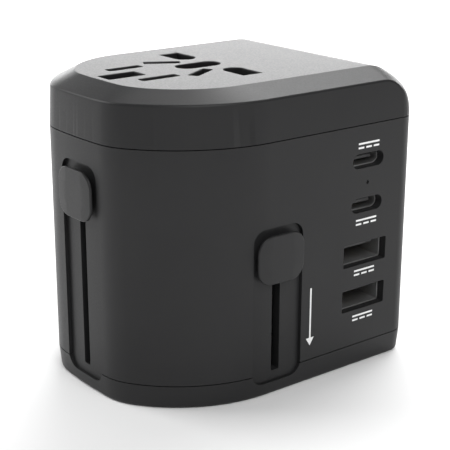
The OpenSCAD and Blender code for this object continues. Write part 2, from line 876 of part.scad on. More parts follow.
top_cap();
body_shell();
base_cap();
front_track();
port_side_track();
far_side_track();
front_knob();
port_side_knob();
far_side_knob();
front_release_spring();
port_side_release_spring();
far_side_release_spring();
uk_sled();
us_sled();
eu_sled();
uk_live_pin();
uk_neutral_pin();
uk_earth_pin();
us_live_blade();
us_neutral_blade();
eu_live_pin();
eu_neutral_pin();
contact_carrier();
live_contact();
neutral_contact();
earth_contact();
live_bus_bar();
neutral_bus_bar();
divider_wall();
power_board();
usb_board();
transformer_core();
transformer_winding();
input_capacitors();
output_capacitors();
upper_usb_a_shell();
lower_usb_a_shell();
upper_usb_c_shell();
lower_usb_c_shell();
usb_a_tongues();
usb_c_tongues();
status_lens();
fuse();
fuse_clips();
case_screws();
carrier_screws();
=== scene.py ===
import json
import math

import bmesh
import bpy
from mathutils import Matrix, Vector


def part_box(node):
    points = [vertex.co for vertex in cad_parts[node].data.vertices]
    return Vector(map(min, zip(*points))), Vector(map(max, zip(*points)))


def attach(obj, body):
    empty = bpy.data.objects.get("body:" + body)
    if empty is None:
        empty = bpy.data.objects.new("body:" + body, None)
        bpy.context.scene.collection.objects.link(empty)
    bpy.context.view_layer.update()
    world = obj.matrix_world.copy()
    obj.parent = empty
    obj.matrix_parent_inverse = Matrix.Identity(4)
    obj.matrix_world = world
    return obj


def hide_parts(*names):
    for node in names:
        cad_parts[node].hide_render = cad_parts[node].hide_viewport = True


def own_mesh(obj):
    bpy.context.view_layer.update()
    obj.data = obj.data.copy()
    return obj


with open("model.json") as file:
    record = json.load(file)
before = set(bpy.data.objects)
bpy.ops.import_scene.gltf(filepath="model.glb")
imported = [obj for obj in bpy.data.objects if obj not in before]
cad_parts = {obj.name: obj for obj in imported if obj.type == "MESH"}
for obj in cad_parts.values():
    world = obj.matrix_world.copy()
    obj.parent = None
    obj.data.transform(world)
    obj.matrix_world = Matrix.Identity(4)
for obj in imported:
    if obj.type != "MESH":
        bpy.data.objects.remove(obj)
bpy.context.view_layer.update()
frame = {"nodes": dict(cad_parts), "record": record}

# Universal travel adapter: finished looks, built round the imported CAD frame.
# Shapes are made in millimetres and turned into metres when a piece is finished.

NODES = frame["nodes"]
BODY_OF = {n: b for b, ns in frame["record"]["behaviour"]["bodies"].items() for n in ns}
SLOT_OF = {s["node"]: s["material_slot"] for s in frame["record"]["subparts"]}
MM = 0.001


def box_mm(node):
    """Lowest and highest corner of a CAD node, in millimetres."""
    low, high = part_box(node)
    return Vector(low) / MM, Vector(high) / MM


def middle(node):
    low, high = box_mm(node)
    return (low + high) / 2


# ---- sizes read from the frame ----

SHELL_LOW, SHELL_HIGH = box_mm("body_shell")
CAP_LOW, CAP_HIGH = box_mm("top_cap")
BASE_HIGH = box_mm("base_cap")[1]
FRONT_X, REAR_X = SHELL_LOW.x, SHELL_HIGH.x
SIDE_Y = SHELL_HIGH.y
BASE_SEAM_Z, CAP_SEAM_Z = SHELL_LOW.z, SHELL_HIGH.z
TOP_Z = CAP_HIGH.z
FRONT_SLOT_Y = middle("front_track").y
SIDE_SLOT_X = middle("port_side_track").x


# ---- sizes that the frame doesn't give ----

# Case
SEAM_GAP = 0.2                  # visible gap at each joint line
WALL = 1.8
LIP_T = 1.0                     # thickness of the lip that locates a cap
FIT = 0.1                       # clearance between a lip and the wall
CUT_PAST = 1.0                  # how far a cutter runs past what it cuts
HOLE_OUT = 2.0                  # how far a side cutter starts outside the case
ABOVE_SEAM = 60.0               # a height past the top of every track

# Plan outline
FRONT_R = 120.0                 # radius of the front face
CORNER_R = 30.6                 # radius of the front corners
CORNER_X = FRONT_X + 27.8       # where the long sides become straight
CORNER_BLEND = 12.0             # softening where the front face meets a corner
BLEND_SHARE = 0.8               # most of a corner's radius that the softening takes
REAR_R = 4.5                    # radius of the rear corners
LEAST_R = 0.4                   # least radius left on an inset outline
FACE_STEPS = 32                 # points along half of the front face
BLEND_STEPS = 12                # points along the softening
CORNER_STEPS = 52               # points along a front corner
SIDE_STEPS = 16                 # points along the straight side
REAR_CORNER_STEPS = 12          # points along a rear corner
REAR_FACE_STEPS = 6             # points along half of the rear face

# Top cap
BEVEL_H = 2.3                   # drop of the bevel
CAP_TAPER = 0.4                 # how far the cap's wall leans in
TOP_INSET = 5.8                 # width of the bevel, seen from above
TOP_CORNER_R = 19.7             # plan radius of the socket face's corners
TOP_CORNER_X = -9.3             # where the socket face's long sides become straight
ROLL_R = 10.0                   # side-view radius at the rear of the top
ROLL_X = REAR_X - ROLL_R
ROLL_Z = TOP_Z - ROLL_R
EDGE_ROLL = 7.0                 # how far back the bevel's outer edge rolls
CAP_FOOT_Z = CAP_SEAM_Z + SEAM_GAP
BEVEL_FOOT_Z = TOP_Z - BEVEL_H
BEVEL_FOOT_R = 1.0              # softness of the bevel's lower edge
BEVEL_TOP_R = 0.12              # softness of its upper edge
BEVEL_STEPS = 8                 # steps up the bevel
CAP_SIDE_STEPS = 14             # columns along the straight side
ROLL_STEPS = 20                 # columns over the rear rounding
LEAST_FOLD = 6                  # angle, in degrees, below which an edge isn't rounded
CAVITY_INSET = 2.2
CAVITY_START = 3.0              # how far below the cap's foot the cavity's cutter starts
CAVITY_REAR = 6.2               # its reach into the rear rounding, before the inset
ROOF_T = 2.5                    # thickness of the socket face
MOUTH = 2.0                     # reach of the mouth's cutter each side of the cap's foot
CAP_LIP_DROP = 2.0              # reach of the cap's lip below the joint line
CAP_LIP_ROOT = 1.3              # and above the cap's foot
CARRIER_POST_R = 2.2
CARRIER_POSTS = [(x, y) for x in (-14, 9) for y in (-15, 15)]
POST_SINK = 2.0                 # how far under the socket face a post ends
CAP_EDGE = 0.13
CAP_EDGE_ANGLE = 55

# Socket holes, seen from above
SOCKET_Y = 0.6                  # middle line of all the holes
UK_HOLE_X = 0.0
UK_HOLE_W = 4.8
UK_HOLE_IN_Y = 8.85
UK_HOLE_OUT_Y = 14.85
UK_EARTH_PITCH = 22.2
EARTH_HOLE = (8.7, 4.5)
US_SLOT_X = -17.4
US_SLOT_Y = 6.35
US_SLOT_L = {-1: 8.95, 1: 8.2}  # neutral, live
AU_SLOT_X = -7.4
AU_SLOT_Y = 6.9
AU_SLOT_L = 7.8
FLAT_SLOT_W = 2.2
CENTRE_HOLE_X = -2.9
CENTRE_HOLE = (10.75, 5.0)
CENTRE_HOLE_R = CENTRE_HOLE[1] / 2 - 0.01
HOLE_CORNER_R = 0.3
HOLE_RIM_R = 0.25
RIM_STEPS = 3
STEEP = 60                      # angle, in degrees, that only a hole's rim has in the top plane
SOCKET_CUT = (5.0, 3.0)         # reach of the cutters under and over the socket face

# Base cap
BASE_TAPER = 0.45
BASE_EDGE = 0.9                 # radius of the lower edge
BASE_EDGE_STEPS = 5
FLOOR_T = 2.2
BASE_WALL_MORE = 0.6            # how much thicker the base's wall is
LIP_SINK = 0.5                  # how far the base's lip is sunk in its floor
POCKET_GAP = 0.2                # room round a track's flange
POCKET_DEPTH = 7.1              # how far in a track's pocket reaches
PIN_WINDOW = 0.5                # how much wider than its flat pin a window is
PIN_WINDOW_R = 0.4
ROUND_PIN_GAP = 0.25
BLADE_TURN = 30.0
BLADE_REACH = 3.42              # half length of a blade's window
BLADE_HALF_T = 1.0              # half width of that window

# Case screws
SCREW_SEAT_R = 2.2              # from the screws' outer limit to their middles
FRONT_SCREW_Y = 20.9
SCREW_HOLE_R = 2.4
SCREW_HOLE_TOP = 2.5
SCREW_BOSS_R = 2.7
SCREW_BOSS_Z = (2.5, 18.5)      # above the base seam
BOSS_INSET = 0.6                # how far inside the outline a boss is kept

# Slider panels
PANEL_HALF_W = 6.4
PANEL_R = 2.8
PANEL_LOW_Z = 2.9
PANEL_DEPTH = 0.8               # as the CAD track
PANEL_OUT = 3.0                 # how far a panel's block stands out of the case
PANEL_PLAY = 0.06               # gap round the panel in its window
PANEL_BLOCK = 6.0               # how far in the blocks that shape panel and flange reach
FLANGE_BLOCK = 8.0
TRACK_LAP = 1.5                 # how far the hidden flange laps behind the wall
TRACK_T = 1.0
PANEL_ROOT = 0.3                # how far the panel reaches behind the wall's inside
SLOT_W = 2.1
SLOT_LOW_Z = 5.15
SLOT_R = 0.3
SLOT_PLAY = 0.3                 # room above the stem at rest
SLOT_CUT = 9.0                  # how far in the slot's cutter reaches
RIB_GAP = 7.2
RIB_T = 1.2
RIB_D = 2.1
RIB_ROOT = 0.6                  # how far behind the wall's inside a rib starts
RIB_LIFT = 0.1                  # how far above the track's foot a rib starts
TRACK_EDGE = 0.1

# Knobs
KNOB_R = 3.4
KNOB_FACE_R = 60.0              # crown of the thumb face
KNOB_T = 1.0
KNOB_RIM_R = 0.3
KNOB_RIM_STEPS = 6
KNOB_EDGE_T = 0.15              # upright band between the rim and the undercut
KNOB_UNDERCUT = 1.5
KNOB_FACE_INSETS = (1.3, 2.3, 3.4)
STEM_W = 1.8
STEM_H = 7.6
STEM_R = 0.25
STEM_ROOT = 0.3                 # how far the stem is sunk in the plate

# Release springs
COIL_WIRE_R = 0.12
COIL_TURNS = 3
COIL_STEPS = 20                 # points along one turn
WIRE_SIDES = 8

# Ports: width, height and corner radius of the opening in the case
PORT_HOLES = {"a": (12.5, 5.1, 0.35), "c": (8.94, 3.2, 1.59)}
PORT_SHELL_T = 0.3
PORT_LIP_R = 0.04               # softness of a shell's front lip
USB_A_SHELL_R = 0.55
TONGUE_ROOT = 0.3               # how far a tongue is sunk in its block
TONGUE_EDGE = 0.1
TONGUES = {
    "a": {"width": 11.2, "z": (0.35, 2.15), "block_l": 3.0, "block_half": (5.95, 2.25)},
    "c": {"width": 6.6, "z": (-0.35, 0.35), "block_l": 1.2, "block_half": (3.0, 1.1)},
}
STRIPS = {
    "a": {"count": 4, "pitch": 2.3, "width": 1.0},
    "c": {"count": 10, "pitch": 0.5, "width": 0.26},
}
STRIP_ENDS = (0.5, 0.2)         # bare tongue in front of and behind a strip
STRIP_Z = (-0.06, 0.02)         # a strip's two faces, from the tongue's underside
STRIP_EDGE = 0.02

# Status light
LENS_HOLE_R = 0.4
LENS_R = 0.37
LENS_FLANGE_T = 1.8
LENS_STEP_T = 1.9
LENS_CROWN = 0.12
LENS_STEPS = 5

# Printed marks
MARK_HEIGHTS = (50.2, 33.4, 22.0, 11.5)
MARK_DEPTH = (0.015, 0.01)      # a mark's reach out of the wall and into it
MARK_HALF_W = 3.0
MARK_BAR_Z = (0.25, 0.65)       # near and far edge of each bar, from the mark's middle
DASH_PITCH = 2.2
DASH_HALF_W = 0.8
ARROW_Z = (8.5, 21.5)
ARROW_SHIFT = 2.6               # from the slider panel's edge
ARROW_STROKE = 0.42
ARROW_HEAD = 1.1                # half width of the head
ARROW_SLOPE = 1.6               # its length over its half width

EDGE = 0.14                     # softness of moulded edges
EDGE_ANGLE = 50
SMOOTH_ANGLE = 32
NORMAL_WEIGHT = 80
INNER_EDGE = 0.12 * MM          # softness of a CAD node's edges, in metres
INNER_EDGE_ANGLE = 40

# Light and camera, seen from the object
SOFT_LIGHTS = (
    # name, azimuth, elevation, size in metres, power
    ("behind_left_low", -142, 12, (0.5, 0.3), 0.5),
    ("behind_left_high", -142, 35, (0.5, 0.5), 4.0),
    ("front_soft", -14, 42, (0.6, 0.5), 4.5),
    ("back_horizon", 142, 9, (1.4, 0.25), 6.9),
    ("back_right_high", 122, 50, (0.7, 0.4), 7.4),
)
LIGHT_DISTANCE = 0.9
LIGHT_AIM = (0, 0, 0.035)
WORLD_STRENGTH = 0.25
CAMERA_AZIMUTH = -38.119
CAMERA_ELEVATION = 18.004
CAMERA_ROLL = 0.159
CAMERA_PLACE = (-154.34, -201.88, 111.98)
CAMERA_LENS = 96.17
CAMERA_SENSOR = 36
CAMERA_NEAR = 0.01
FLOOR_HALF = 3.0                # half the floor's side, in metres
FLOOR_STEPS = 24


# ---- mesh helpers ----

def new_object(name, verts, faces):
    mesh = bpy.data.meshes.new(name)
    mesh.from_pydata([tuple(v) for v in verts], [], faces)
    mesh.validate()
    obj = bpy.data.objects.new(name, mesh)
    bpy.context.scene.collection.objects.link(obj)
    bm = bmesh.new()
    bm.from_mesh(mesh)
    bmesh.ops.remove_doubles(bm, verts=bm.verts, dist=1e-4)
    bmesh.ops.recalc_face_normals(bm, faces=bm.faces)
    bm.to_mesh(mesh)
    bm.free()
    return obj


def settle(obj):
    """Applies an object's modifiers to its mesh."""
    graph = bpy.context.evaluated_depsgraph_get()
    mesh = bpy.data.meshes.new_from_object(obj.evaluated_get(graph))
    obj.modifiers.clear()
    old = obj.data
    obj.data = mesh
    bpy.data.meshes.remove(old)
    return obj


def combine(obj, other, operation="DIFFERENCE"):
    """Applies one exact boolean and removes the other object."""
    mod = obj.modifiers.new("combine", "BOOLEAN")
    mod.operation = operation
    mod.object = other
    mod.solver = "EXACT"
    settle(obj)
    bpy.data.objects.remove(other)
    return obj


def join(parts, name):
    """One object from several that don't touch."""
    bm = bmesh.new()
    for part in parts:
        bm.from_mesh(part.data)
        bpy.data.objects.remove(part)
    mesh = bpy.data.meshes.new(name)
    bm.to_mesh(mesh)
    bm.free()
    obj = bpy.data.objects.new(name, mesh)
    bpy.context.scene.collection.objects.link(obj)
    return obj


def loft(name, rings):
    """A skin through rings of equal length, with a flat face at each end."""
    n = len(rings[0])
    verts = [p for ring in rings for p in ring]
    faces = []
    for k in range(len(rings) - 1):
        a, b = k * n, (k + 1) * n
        faces += [(a + i, a + (i + 1) % n, b + (i + 1) % n, b + i) for i in range(n)]
    faces.append(tuple(range(n)))
    faces.append(tuple((len(rings) - 1) * n + i for i in range(n)))
    return new_object(name, verts, faces)


def arc(cx, cy, r, start, end, steps):
    """Points from angle start to angle end, in degrees, both ends included."""
    out = []
    for i in range(steps + 1):
        a = math.radians(start + (end - start) * i / steps)
        out.append((cx + r * math.cos(a), cy + r * math.sin(a)))
    return out


def rounded_rect(w, h, r, steps=8):
    """Outline of a rounded rectangle about the origin, anticlockwise."""
    pts = []
    for sx, sy, a in ((1, 1, 0), (-1, 1, 90), (-1, -1, 180), (1, -1, 270)):
        pts += arc(sx * (w / 2 - r), sy * (h / 2 - r), r, a, a + 90, steps)
    return pts


def circle(r, steps=32):
    return arc(0, 0, r, 0, 360 - 360 / steps, steps - 1)


def angle_of(cx, cy, x, y):
    return math.degrees(math.atan2(y - cy, x - cx))


def blend_centre(face_c, face_r, side_c, side_r, blend):
    """Centre of the circle of radius blend that touches both arcs from inside."""
    d1, d2 = face_r - blend, side_r - blend
    gap = (side_c - face_c).length
    along = (d1 * d1 - d2 * d2 + gap * gap) / (2 * gap)
    off = math.sqrt(max(d1 * d1 - along * along, 0.0))
    axis = (side_c - face_c) / gap
    centre = face_c + axis * along + Vector((axis.y, -axis.x)) * off
    if centre.y < 0:
        centre = face_c + axis * along - Vector((axis.y, -axis.x)) * off
    return centre


def half_outline(inset=0.0, front_x=FRONT_X, side_y=SIDE_Y, corner_r=CORNER_R,
                 corner_x=CORNER_X, rear_x=REAR_X):
    """Half of the plan outline, from the middle of the front face to the middle of the rear.

    Every call gives the same number of points, so two outlines can be lofted. CORNER_BLEND
    isn't reduced by the inset.
    """
    sy = side_y - inset
    cr = corner_r - inset
    rx = rear_x - inset
    fr = FRONT_R - inset
    blend = max(min(CORNER_BLEND, BLEND_SHARE * cr), LEAST_R)
    rear_r = max(REAR_R - inset, LEAST_R)
    face_c = Vector((front_x + inset + fr, 0.0))
    side_c = Vector((corner_x, sy - cr))
    blend_c = blend_centre(face_c, fr, side_c, cr, blend)
    a1 = angle_of(*face_c, *blend_c)
    a2 = angle_of(*side_c, *blend_c)
    pts = arc(*face_c, fr, 180, a1, FACE_STEPS)
    pts += arc(*blend_c, blend, a1, a2, BLEND_STEPS)[1:]
    pts += arc(*side_c, cr, a2, 90, CORNER_STEPS)[1:]
    straight_end = rx - rear_r
    run = straight_end - corner_x
    pts += [(corner_x + run * i / SIDE_STEPS, sy) for i in range(1, SIDE_STEPS + 1)]
    pts += arc(straight_end, sy - rear_r, rear_r, 90, 0, REAR_CORNER_STEPS)[1:]
    pts += [(rx, (sy - rear_r) * (1 - i / REAR_FACE_STEPS)) for i in range(1, REAR_FACE_STEPS + 1)]
    return pts


def ring(z, **sizes):
    """The whole plan outline at one height."""
    half = half_outline(**sizes)
    full = half + [(x, -y) for x, y in reversed(half[1:-1])]
    return [Vector((x, y, z)) for x, y in full]


def slab(z0, z1, **sizes):
    return loft("slab", [ring(z0, **sizes), ring(z1, **sizes)])


def wall_ring(z0, z1, inset0, inset1):
    """A tube that follows the case wall between two insets."""
    return combine(slab(z0, z1, inset=inset0), slab(z0 - CUT_PAST, z1 + CUT_PAST, inset=inset1))


def prism(points, place, low, high):
    """A straight prism: place maps (u, v, w) to the row frame, w runs from low to high."""
    rings = [[place(u, v, w) for u, v in points] for w in (low, high)]
    return loft("prism", rings)


def upright(cx=0.0, cy=0.0, turn=0.0):
    """Place function for a prism that stands along +Z."""
    c, s = math.cos(math.radians(turn)), math.sin(math.radians(turn))
    return lambda u, v, w: Vector((cx + u * c - v * s, cy + u * s + v * c, w))


def port_face(x, z):
    """Place function for a prism that stands out of the charging-port face."""
    return lambda u, v, w: Vector((x + u, -SIDE_Y - w, z + v))


def block(low, high):
    x0, y0, z0 = low
    x1, y1, z1 = high
    rect = [(x0, y0), (x1, y0), (x1, y1), (x0, y1)]
    return prism(rect, upright(), z0, z1)


# Place functions for the slider walls: u runs along the wall, v is up, w is out of the case
WALLS = {
    "front": lambda u, v, w: Vector((FRONT_X - w, FRONT_SLOT_Y - u, v)),
    "port_side": lambda u, v, w: Vector((SIDE_SLOT_X + u, -SIDE_Y - w, v)),
    "far_side": lambda u, v, w: Vector((SIDE_SLOT_X - u, SIDE_Y + w, v)),
}


def panel_top(wall):
    return box_mm(wall + "_track")[1].z - TRACK_LAP


def panel_prism(wall, grow, depth):
    """Panel-shaped block through a slider wall, grown on every side."""
    top = panel_top(wall)
    mid, height = (top + PANEL_LOW_Z) / 2, top - PANEL_LOW_Z
    place = WALLS[wall]
    pts = rounded_rect(2 * (PANEL_HALF_W + grow), height + 2 * grow, PANEL_R + grow)
    return prism(pts, lambda u, v, w: place(u, v + mid, w), -depth, PANEL_OUT)


# ---- finishing ----

def soften(obj, width=EDGE, segments=2, angle=EDGE_ANGLE):
    """Rounds sharp edges."""
    mod = obj.modifiers.new("soften", "BEVEL")
    mod.width = width
    mod.segments = segments
    mod.limit_method = "ANGLE"
    mod.angle_limit = math.radians(angle)
    mod.use_clamp_overlap = True
    mod.miter_outer = "MITER_ARC"
    settle(obj)
    return obj


def even_normals(obj):
    obj.data.shade_smooth()
    obj.data.set_sharp_from_angle(angle=math.radians(SMOOTH_ANGLE))
    mod = obj.modifiers.new("even", "WEIGHTED_NORMAL")
    mod.keep_sharp = True
    mod.weight = NORMAL_WEIGHT
    settle(obj)


def finish_piece(obj, name, material, replaces=(), body=None, slot=None):
    """Turns a millimetre mesh into a named piece in metres on its CAD body."""
    even_normals(obj)
    obj.data.transform(Matrix.Scale(MM, 4))
    obj.name = name
    obj.data.name = name
    obj.data.materials.clear()
    obj.data.materials.append(material)
    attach(obj, body or BODY_OF[replaces[0]])
    if replaces:
        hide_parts(*replaces)
    slot or SLOT_OF[replaces[0]]
    return obj


# ---- materials ----

RAMP_STOPS = (0.3, 0.7)
PLASTIC_TONE = (60.0, 3.0)          # scale and detail of the tone pattern
PLASTIC_TONE_RANGE = (0.94, 1.06)
PLASTIC_GRAIN_DETAIL = 2.0
PLASTIC_GLOSS_SPREAD = 0.04
PLASTIC_BUMP_M = 0.0001
METAL_TONE = (150.0, 3.0)
METAL_GRAIN = (900.0, 4.0)          # scale and detail of the handling marks
METAL_DARK = 0.88
METAL_GLOSS_RANGE = (0.85, 1.15)
METAL_BUMP = 0.04
METAL_BUMP_M = 0.00005
SATIN = 0.22                        # specular level of the satin case plastic


def principled(name):
    mat = bpy.data.materials.new(name)
    mat.use_nodes = True
    return mat, mat.node_tree.nodes, mat.node_tree.links, mat.node_tree.nodes["Principled BSDF"]


def noise(nodes, links, coords, scale, detail=2.0, stretch=(1, 1, 1)):
    mapping = nodes.new("ShaderNodeMapping")
    mapping.inputs["Scale"].default_value = stretch
    links.new(coords.outputs["Object"], mapping.inputs["Vector"])
    tex = nodes.new("ShaderNodeTexNoise")
    tex.inputs["Scale"].default_value = scale
    tex.inputs["Detail"].default_value = detail
    links.new(mapping.outputs["Vector"], tex.inputs["Vector"])
    return tex


def ramp(nodes, links, source, low, high, target):
    """Colour ramp between two grey or RGB values, from a source to a shader's input."""
    node = nodes.new("ShaderNodeValToRGB")
    for stop, value, position in zip(node.color_ramp.elements, (low, high), RAMP_STOPS):
        rgb = value if isinstance(value, (tuple, list)) else (value, value, value)
        stop.color = (*rgb, 1)
        stop.position = position
    links.new(source, node.inputs["Fac"])
    links.new(node.outputs["Color"], target)


def bump(nodes, links, source, shader, strength, distance):
    """Fine relief from a source's pattern. The distance is in metres."""
    node = nodes.new("ShaderNodeBump")
    node.inputs["Strength"].default_value = strength
    node.inputs["Distance"].default_value = distance
    links.new(source, node.inputs["Height"])
    links.new(node.outputs["Normal"], shader.inputs["Normal"])


def moulded_plastic(name, colour, roughness=0.42, grain=2600.0, relief=0.05, specular=0.5):
    """Moulded plastic: a fine spark-eroded grain, with faint tone and gloss changes."""
    mat, nodes, links, shader = principled(name)
    coords = nodes.new("ShaderNodeTexCoord")
    tone = noise(nodes, links, coords, *PLASTIC_TONE)
    dark, light = (tuple(c * share for c in colour) for share in PLASTIC_TONE_RANGE)
    ramp(nodes, links, tone.outputs["Fac"], dark, light, shader.inputs["Base Color"])
    fine = noise(nodes, links, coords, grain, PLASTIC_GRAIN_DETAIL)
    ramp(nodes, links, fine.outputs["Fac"], roughness - PLASTIC_GLOSS_SPREAD,
         roughness + PLASTIC_GLOSS_SPREAD, shader.inputs["Roughness"])
    shader.inputs["Specular IOR Level"].default_value = specular
    bump(nodes, links, fine.outputs["Fac"], shader, relief, PLASTIC_BUMP_M)
    return mat


def metal(name, colour, roughness=0.25, stretch=(1, 1, 1)):
    """Plated or drawn metal with fine handling marks."""
    mat, nodes, links, shader = principled(name)
    coords = nodes.new("ShaderNodeTexCoord")
    shader.inputs["Metallic"].default_value = 1.0
    tone = noise(nodes, links, coords, *METAL_TONE, stretch)
    dark = tuple(c * METAL_DARK for c in colour)
    ramp(nodes, links, tone.outputs["Fac"], dark, colour, shader.inputs["Base Color"])
    fine = noise(nodes, links, coords, *METAL_GRAIN, stretch)
    smooth, rough = (roughness * share for share in METAL_GLOSS_RANGE)
    ramp(nodes, links, fine.outputs["Fac"], smooth, rough, shader.inputs["Roughness"])
    bump(nodes, links, fine.outputs["Fac"], shader, METAL_BUMP, METAL_BUMP_M)
    return mat


CASE = moulded_plastic("case_plastic", (0.018, 0.018, 0.0186), specular=SATIN)
TRACK = moulded_plastic("track_plastic", (0.017, 0.017, 0.0176), specular=SATIN)
KNOB = moulded_plastic("knob_plastic", (0.019, 0.019, 0.0196), roughness=0.38, relief=0.02,
                       specular=SATIN)
MATERIALS = {
    "case_black": CASE,
    "track_black": TRACK,
    "knob_black": KNOB,
    "sled_plastic": moulded_plastic("sled_plastic", (0.02, 0.02, 0.022), roughness=0.5),
    "insulating_sleeve": moulded_plastic("sleeve_plastic", (0.02, 0.02, 0.022), roughness=0.45),
    "carrier_plastic": moulded_plastic("carrier_plastic", (0.62, 0.58, 0.5), roughness=0.5),
    "pin_brass": metal("pin_brass", (0.78, 0.62, 0.34), 0.22, (1, 1, 0.1)),
    "pin_nickel": metal("pin_nickel", (0.72, 0.71, 0.69), 0.2, (1, 1, 0.1)),
    "contact_brass": metal("contact_brass", (0.74, 0.56, 0.27), 0.3),
    "spring_steel": metal("spring_steel", (0.6, 0.6, 0.6), 0.25),
    "screw_steel": metal("screw_steel", (0.5, 0.5, 0.49), 0.32),
    "port_steel": metal("port_steel", (0.38, 0.38, 0.38), 0.6),
    "port_plastic": moulded_plastic("port_plastic", (0.1, 0.1, 0.101), roughness=0.6),
    "board": moulded_plastic("board", (0.02, 0.12, 0.06), roughness=0.3, grain=900.0),
    "ferrite": moulded_plastic("ferrite", (0.035, 0.035, 0.038), roughness=0.6, grain=1500.0),
    "copper_winding": metal("copper_winding", (0.72, 0.38, 0.2), 0.3, (1, 1, 8)),
    "capacitor_sleeve": moulded_plastic("capacitor_sleeve", (0.03, 0.035, 0.06), roughness=0.25),
    "fuse_ceramic": moulded_plastic("fuse_ceramic", (0.78, 0.76, 0.7), roughness=0.2),
    "lens": moulded_plastic("lens", (0.006, 0.006, 0.0065), roughness=0.2, specular=SATIN),
}
MARK = moulded_plastic("printed_mark", (0.8, 0.8, 0.8), roughness=0.55)
GOLD = metal("contact_gold", (0.85, 0.62, 0.28), 0.2)


# ---- top cap ----
# Its outer skin is made of columns of points. Each runs from the joint line up the wall,
# over the bevel, to the top surface.

REAR_CORNER = Vector((REAR_X - REAR_R, SIDE_Y - REAR_R))


def column(foot, low, high):
    """A foot point, then even steps from low to high."""
    return [foot] + [low.lerp(high, t / BEVEL_STEPS) for t in range(BEVEL_STEPS + 1)]


def front_columns(lower, inner, count):
    """Columns round the front face and corner."""
    outer = half_outline()
    columns = []
    for i in range(count + 1):
        foot = Vector((*outer[i], CAP_FOOT_Z))
        low = Vector((*lower[i], BEVEL_FOOT_Z))
        columns.append(column(foot, low, Vector((*inner[i], TOP_Z))))
    return columns


def side_columns(lower_x, inner_x):
    """Columns along the straight side, as far as the rear rounding."""
    columns = []
    for i in range(1, CAP_SIDE_STEPS + 1):
        x0 = lower_x + (ROLL_X - lower_x) * i / CAP_SIDE_STEPS
        x1 = inner_x + (ROLL_X - inner_x) * i / CAP_SIDE_STEPS
        low = Vector((x0, SIDE_Y - CAP_TAPER, BEVEL_FOOT_Z))
        high = Vector((x1, SIDE_Y - TOP_INSET, TOP_Z))
        columns.append(column(Vector((x0, SIDE_Y, CAP_FOOT_Z)), low, high))
    return columns


def corner_y(x):
    """The wall's y at x, where that is on a rear corner."""
    return REAR_CORNER.y + math.sqrt(REAR_R ** 2 - (x - REAR_CORNER.x) ** 2)


def rear_end():
    """Plan points where the rounding ends on the rear corner, and each one's bulge."""
    tail = Vector((ROLL_X + EDGE_ROLL, 0))
    tail.y = corner_y(tail.x)
    tail_angle = angle_of(*REAR_CORNER, *tail)
    row = arc(*REAR_CORNER, REAR_R, tail_angle, 0, BEVEL_STEPS - 1)
    row.append((REAR_X, SIDE_Y - TOP_INSET))
    line = [tail.lerp(Vector(row[-1]), t / BEVEL_STEPS) for t in range(BEVEL_STEPS + 1)]
    return row, [Vector(p) - q for p, q in zip(row, line)]


def roll_column(turned, bulge):
    """One column over the rear rounding, turned by an angle from upright."""
    th = math.radians(turned)
    out = Vector((math.sin(th), 0, math.cos(th)))
    x = ROLL_X + EDGE_ROLL * math.sin(th)
    z = ROLL_Z + (BEVEL_FOOT_Z - ROLL_Z) * math.cos(th)
    wall_y = SIDE_Y if x < REAR_CORNER.x else corner_y(x)
    draft = CAP_TAPER * (z - CAP_FOOT_Z) / (BEVEL_FOOT_Z - CAP_FOOT_Z)
    low = Vector((x, wall_y - draft, z))
    high = Vector((ROLL_X + ROLL_R * math.sin(th), SIDE_Y - TOP_INSET,
                   ROLL_Z + ROLL_R * math.cos(th)))
    points = column(Vector((x, wall_y, CAP_FOOT_Z)), low, high)
    for point, b in zip(points[1:], bulge):
        point += math.sin(th) ** 2 * (out * b.x + Vector((0, b.y, 0)))
    return points


def cap_columns():
    """All columns on the +Y half from front to rear, and the last one on the flat top."""
    lower = half_outline(inset=CAP_TAPER)
    inner = half_outline(front_x=FRONT_X + TOP_INSET, side_y=SIDE_Y - TOP_INSET,
                         corner_r=TOP_CORNER_R, corner_x=TOP_CORNER_X)
    corner_end = FACE_STEPS + BLEND_STEPS + CORNER_STEPS
    columns = front_columns(lower, inner, corner_end)
    columns += side_columns(lower[corner_end][0], inner[corner_end][0])
    row, bulge = rear_end()
    columns += [roll_column(90 * i / ROLL_STEPS, bulge) for i in range(1, ROLL_STEPS + 1)]
    last = [Vector((*p, CAP_FOOT_Z)) for p in row]
    columns.append([last[0]] + last)
    return columns, corner_end + CAP_SIDE_STEPS


def cap_skin():
    """Closed outer shape of the top cap."""
    half, flat_end = cap_columns()
    columns = [[Vector((p.x, -p.y, p.z)) for p in col] for col in reversed(half[1:])] + half
    mid = len(half) - 1
    n = len(columns[0])
    verts = [p for col in columns for p in col]
    faces = []
    for c in range(len(columns) - 1):
        for k in range(n - 1):
            a = c * n + k
            faces.append((a, a + n, a + n + 1, a + 1))
    top = n - 1
    # flat socket face, then the rounding in strips from side to side
    faces.append(tuple(c * n + top for c in range(mid - flat_end, mid + flat_end + 1)))
    for j in range(flat_end, len(half) - 1):
        faces.append(((mid + j) * n + top, (mid + j + 1) * n + top,
                      (mid - j - 1) * n + top, (mid - j) * n + top))
    # underside: round every column's foot, then along the rear end's two columns
    under = [c * n for c in range(len(columns))]
    under += [(len(columns) - 1) * n + k for k in range(2, n)]
    under += list(range(n - 1, 1, -1))
    faces.append(tuple(under))
    obj = new_object("cap", verts, faces)
    round_cap_edges(obj, columns)
    return obj


